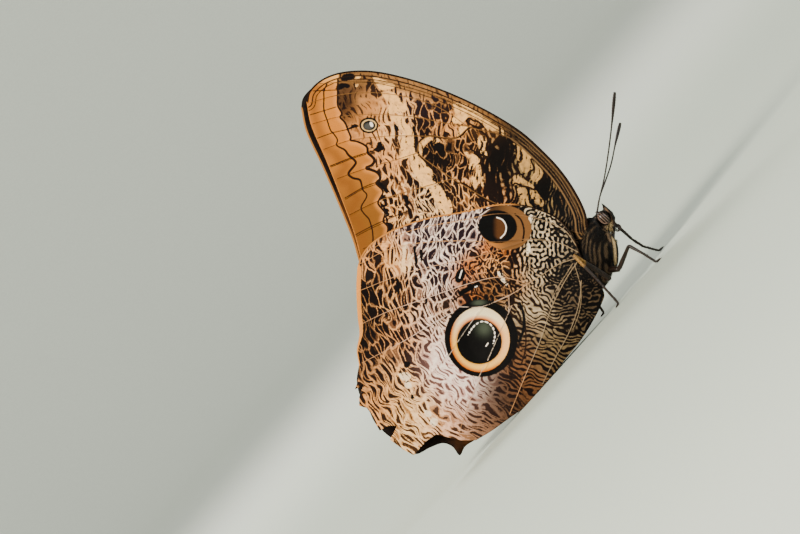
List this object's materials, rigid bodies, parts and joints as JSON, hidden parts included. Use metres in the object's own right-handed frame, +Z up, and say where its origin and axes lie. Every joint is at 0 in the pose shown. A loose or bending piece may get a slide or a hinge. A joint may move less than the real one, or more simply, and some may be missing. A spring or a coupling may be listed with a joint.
{
  "type": "giant owl butterfly",
  "caption": "Life-size owl butterfly at rest, wings closed over its back, large eyespots on the hindwings, standing on four legs and the hindwings' lower edge.",
  "frame": {"origin": "middle of the underside of the whole animal's box, on the floor that it stands on", "axes": "+X towards the head, +Y to the animal's left, +Z up"},
  "size_m": [0.0933, 0.0277, 0.0849],
  "materials": {
    "forewing": "powdery wing scales in tan, cream and dark brown ripples",
    "hindwing": "powdery wing scales in grey-brown ripples with eyespots",
    "body_fur": "short dark brown hair",
    "eye": "glossy compound eye with pale stripes",
    "chitin": "satin brown insect shell"
  },
  "bodies": {
    "root": {"abdomen": "body_fur", "antenna_left": "chitin", "antenna_right": "chitin", "eye_left": "eye", "eye_right": "eye", "forewing_left": "forewing", "forewing_right": "forewing", "head": "body_fur", "hindwing_left": "hindwing", "hindwing_right": "hindwing", "leg_fore_left": "body_fur", "leg_fore_right": "body_fur", "leg_hind_left": "chitin", "leg_hind_right": "chitin", "leg_mid_left": "chitin", "leg_mid_right": "chitin", "palpus_left": "body_fur", "palpus_right": "body_fur", "proboscis": "chitin", "thorax": "body_fur"}
  },
  "joints": []
}
